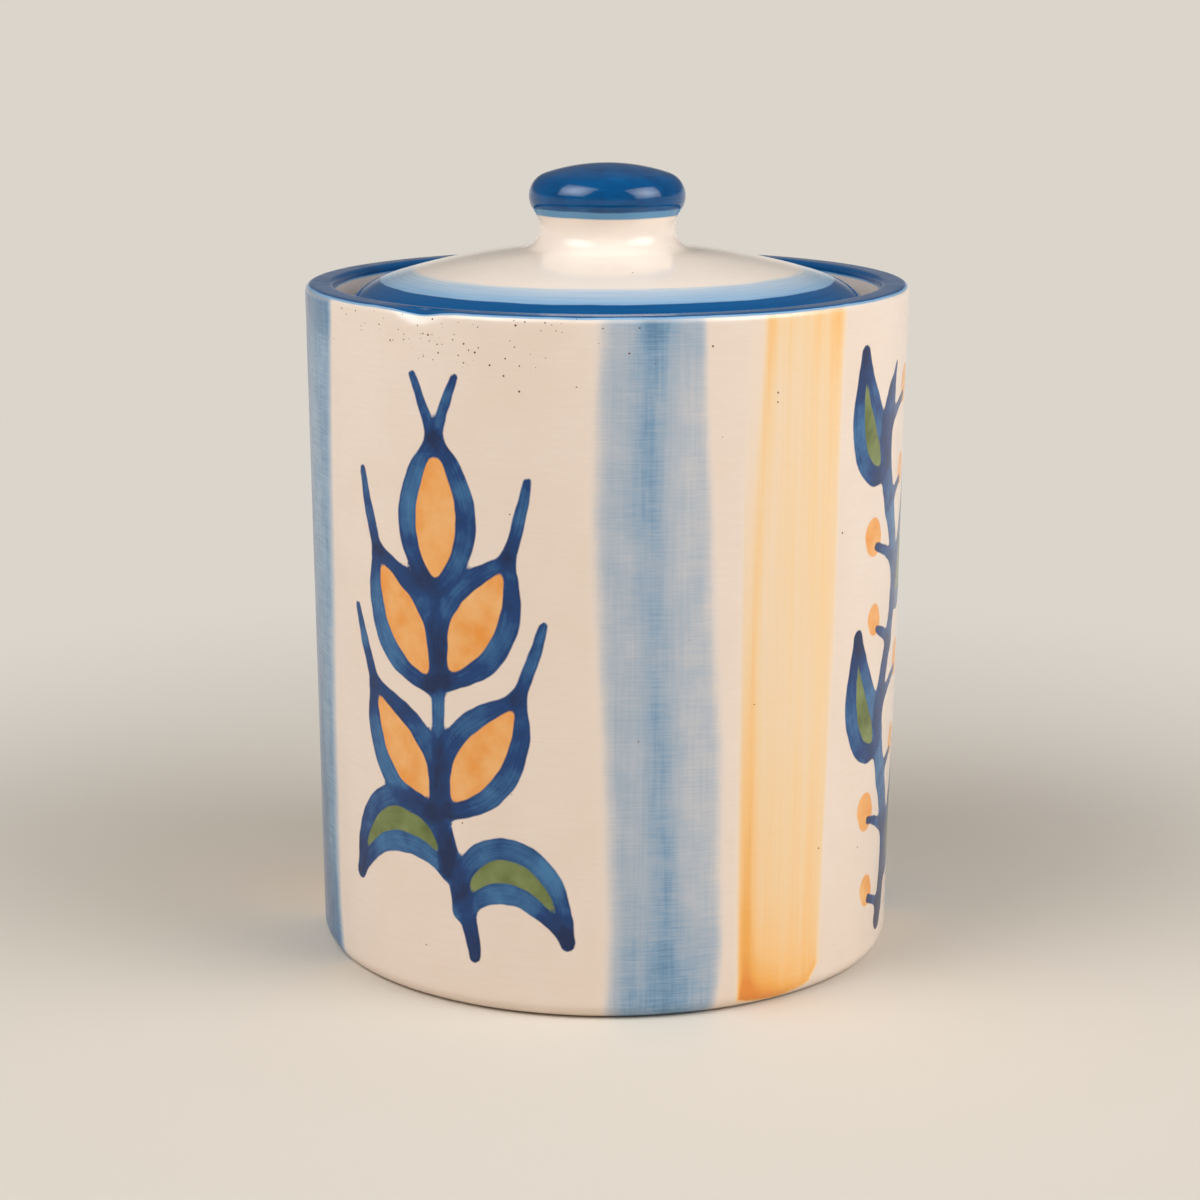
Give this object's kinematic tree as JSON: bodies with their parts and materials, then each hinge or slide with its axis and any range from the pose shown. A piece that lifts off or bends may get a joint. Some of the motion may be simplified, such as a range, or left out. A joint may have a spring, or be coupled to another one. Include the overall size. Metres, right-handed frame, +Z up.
{
  "type": "lidded canister",
  "caption": "Straight-sided stoneware canister with a domed drop-in lid and a round knob, for keeping flour and other dry goods.",
  "frame": {"origin": "centre of the foot, on the plane that the jar stands on", "axes": "+Z up along the axis of the jar and lid; -Y towards the front"},
  "size_m": [0.165, 0.165, 0.2163],
  "materials": {
    "jar_glaze": "gloss",
    "lid_glaze": "gloss"
  },
  "bodies": {
    "jar_body": {"jar": "jar_glaze"},
    "lid_body": {"lid": "lid_glaze"}
  },
  "joints": [
    {"name": "lid_lift", "type": "slide", "parent": "jar_body", "child": "lid_body", "axis": [0, 0, 1], "range_m": [0, 0.15]}
  ]
}
